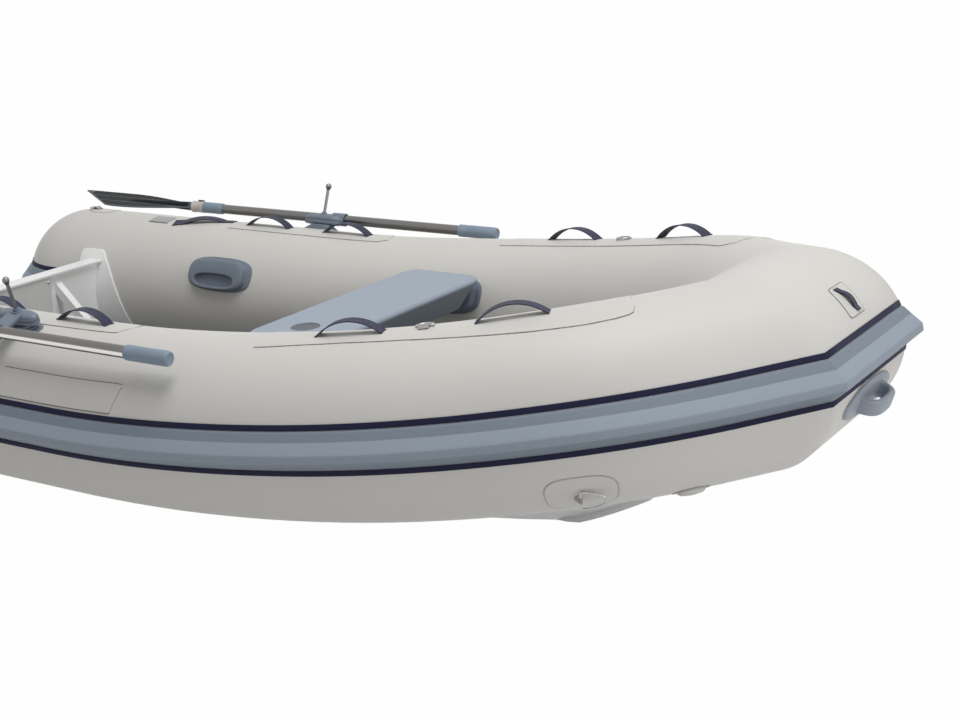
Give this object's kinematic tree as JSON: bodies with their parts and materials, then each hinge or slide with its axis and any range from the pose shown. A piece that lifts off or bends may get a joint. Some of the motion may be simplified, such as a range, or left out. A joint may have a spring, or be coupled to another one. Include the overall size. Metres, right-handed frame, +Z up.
{
  "type": "rigid inflatable boat",
  "caption": "Small rigid inflatable tender with an aluminium V hull, a grey fabric collar, a thwart, grab handles and stowed oars.",
  "frame": {"origin": "centreline point amidships on the waterline of the empty boat", "axes": "+X forward to the bow, +Y to port, +Z up"},
  "size_m": [3.0192, 1.7024, 0.7918],
  "materials": {
    "collar_fabric": "matt coated fabric, pale warm grey",
    "patch_fabric": "matt coated fabric patches, pale warm grey",
    "rail_rubber": "extruded rubber, blue-grey",
    "navy_trim": "bonded trim strip, navy",
    "navy_webbing": "woven webbing, navy",
    "hull_paint": "powder coated aluminium, white",
    "deck_paint": "non-slip powder coat, light grey",
    "pad_plastic": "moulded pads with a fine grid, pale grey",
    "moulded_rubber": "moulded fittings, blue-grey",
    "moulded_plastic": "moulded plastic, blue-grey",
    "seat_shell": "moulded seat shell, blue-grey",
    "steel": "stainless steel",
    "oar_aluminium": "anodised tube",
    "blade_plastic": "moulded blade, near black"
  },
  "bodies": {
    "boat": {"tube_starboard": "collar_fabric", "tube_port": "collar_fabric", "tube_bow": "collar_fabric", "rub_rail_starboard": "rail_rubber", "stripes_starboard": "navy_trim", "rub_rail_port": "rail_rubber", "stripes_port": "navy_trim", "rub_rail_bow": "rail_rubber", "stripes_bow": "navy_trim", "hull_bottom": "hull_paint", "keel_strip": "hull_paint", "deck_plate": "deck_paint", "transom": "hull_paint", "motor_pad_front": "pad_plastic", "motor_pad_back": "pad_plastic", "transom_braces": "hull_paint", "corner_plate_starboard": "hull_paint", "handle_patches_starboard": "patch_fabric", "name_plate_starboard": "patch_fabric", "grab_handle_starboard_1": "navy_webbing", "grab_handle_starboard_2": "navy_webbing", "grab_handle_starboard_3": "navy_webbing", "grab_handle_starboard_4": "navy_webbing", "oar_keeper_starboard": "navy_webbing", "seat_mounts_starboard": "moulded_rubber", "corner_plate_port": "hull_paint", "handle_patches_port": "patch_fabric", "name_plate_port": "patch_fabric", "grab_handle_port_1": "navy_webbing", "grab_handle_port_2": "navy_webbing", "grab_handle_port_3": "navy_webbing", "grab_handle_port_4": "navy_webbing", "oar_keeper_port": "navy_webbing", "seat_mounts_port": "moulded_rubber", "seat_thwart": "seat_shell", "oarlock_base_starboard": "moulded_rubber", "oarlock_pin_starboard": "steel", "rings_starboard": "steel", "ring_patches_starboard": "patch_fabric", "tow_pad_starboard": "patch_fabric", "oarlock_base_port": "moulded_rubber", "oarlock_pin_port": "steel", "rings_port": "steel", "ring_patches_port": "patch_fabric", "tow_pad_port": "patch_fabric", "bow_handle_patch": "patch_fabric", "bow_handle": "moulded_rubber", "bow_strap_patch": "patch_fabric"},
    "oar_starboard": {"oarlock_swivel_starboard": "moulded_plastic", "oar_shaft_starboard": "oar_aluminium", "oar_grip_starboard": "moulded_plastic", "oar_collar_starboard": "moulded_plastic", "oar_blade_starboard": "blade_plastic"},
    "oar_port": {"oarlock_swivel_port": "moulded_plastic", "oar_shaft_port": "oar_aluminium", "oar_grip_port": "moulded_plastic", "oar_collar_port": "moulded_plastic", "oar_blade_port": "blade_plastic"}
  },
  "joints": [
    {"name": "oar_swing_starboard", "type": "hinge", "parent": "boat", "child": "oar_starboard", "pos_m": [-0.4, -0.67353, 0.50703], "axis": [0, -0.342, 0.9397], "range_deg": [0, 115]},
    {"name": "oar_swing_port", "type": "hinge", "parent": "boat", "child": "oar_port", "pos_m": [-0.4, 0.67353, 0.50703], "axis": [0, -0.342, -0.9397], "range_deg": [0, 115]}
  ]
}
